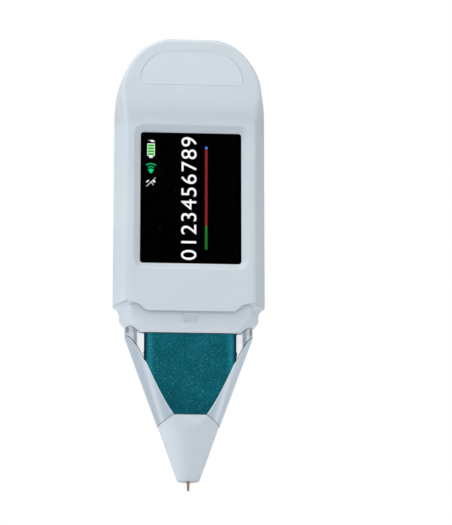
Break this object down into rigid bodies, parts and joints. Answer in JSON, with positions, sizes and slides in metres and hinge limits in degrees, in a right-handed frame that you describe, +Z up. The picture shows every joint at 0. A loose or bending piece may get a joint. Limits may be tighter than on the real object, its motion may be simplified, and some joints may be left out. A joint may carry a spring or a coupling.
{
  "type": "diamond tester",
  "caption": "Hand-held thermal diamond tester with a display body, a pointed neck and a sprung heated probe pin.",
  "frame": {"origin": "the flat end of the probe pin, on the probe's axis, which is also the bottom centre of the object's box", "axes": "+Z up the probe's axis to the head, +X to the right as the screen is read upright, -Y out of the screen"},
  "size_m": [0.0474, 0.024, 0.1431],
  "materials": {
    "white_shell": "moulded, semi-gloss white",
    "white_collar": "moulded, semi-gloss white",
    "white_nose": "moulded, satin white",
    "white_badge": "moulded, semi-gloss white, bare",
    "display_lens": "clear, polished",
    "display_module": "black display glass with lit marks",
    "chrome_plating": "bright chrome plating",
    "teal_lacquer": "teal lacquer with fine metallic flake",
    "silver_satin": "satin silver paint",
    "gold_plated_copper": "gold plated",
    "brass_block": "turned",
    "spring_steel": "drawn wire",
    "nickel_steel": "nickel plated",
    "battery_foil": "laminated foil",
    "board_resin": "green solder mask",
    "black_plastic": "moulded, matt",
    "cream_plastic": "moulded, matt",
    "milky_plastic": "milky clear"
  },
  "bodies": {
    "housing": {"front_cover": "white_shell", "rear_cover": "white_shell", "collar": "white_collar", "nose_cone": "white_nose", "badge_panel": "white_badge", "display_window": "display_lens", "display_panel": "display_module", "display_bracket": "black_plastic", "main_board": "board_resin", "battery": "battery_foil", "usb_socket": "nickel_steel", "buzzer": "black_plastic", "controller_chip": "black_plastic", "battery_connector": "cream_plastic", "power_switch": "black_plastic", "status_led": "milky_plastic", "status_light_pipe": "milky_plastic", "neck_shell": "chrome_plating", "grip_panel_front": "teal_lacquer", "grip_panel_rear": "teal_lacquer", "side_rail_left": "silver_satin", "side_rail_right": "silver_satin", "probe_guide": "cream_plastic", "spring_seat": "black_plastic", "cover_screw_1": "nickel_steel", "cover_screw_2": "nickel_steel", "cover_screw_3": "nickel_steel", "cover_screw_4": "nickel_steel", "board_screw_1": "nickel_steel", "board_screw_2": "nickel_steel", "neck_screw_left": "nickel_steel", "neck_screw_right": "nickel_steel", "return_spring": "spring_steel"},
    "probe": {"probe_pin": "gold_plated_copper", "heater_block": "brass_block", "heater_element": "black_plastic"},
    "power_key": {"power_button": "silver_satin", "switch_stem": "black_plastic"}
  },
  "joints": [
    {"name": "probe_slide", "type": "slide", "parent": "housing", "child": "probe", "axis": [0, 0, 1], "range_m": [0, 0.0015], "stiffness_N_per_m": 300, "springref_m": -0.002, "deforming": ["return_spring"]},
    {"name": "power_key_press", "type": "slide", "parent": "housing", "child": "power_key", "axis": [-1, 0, 0], "range_m": [0, 0.0005], "stiffness_N_per_m": 1000, "springref_m": -0.0005}
  ]
}
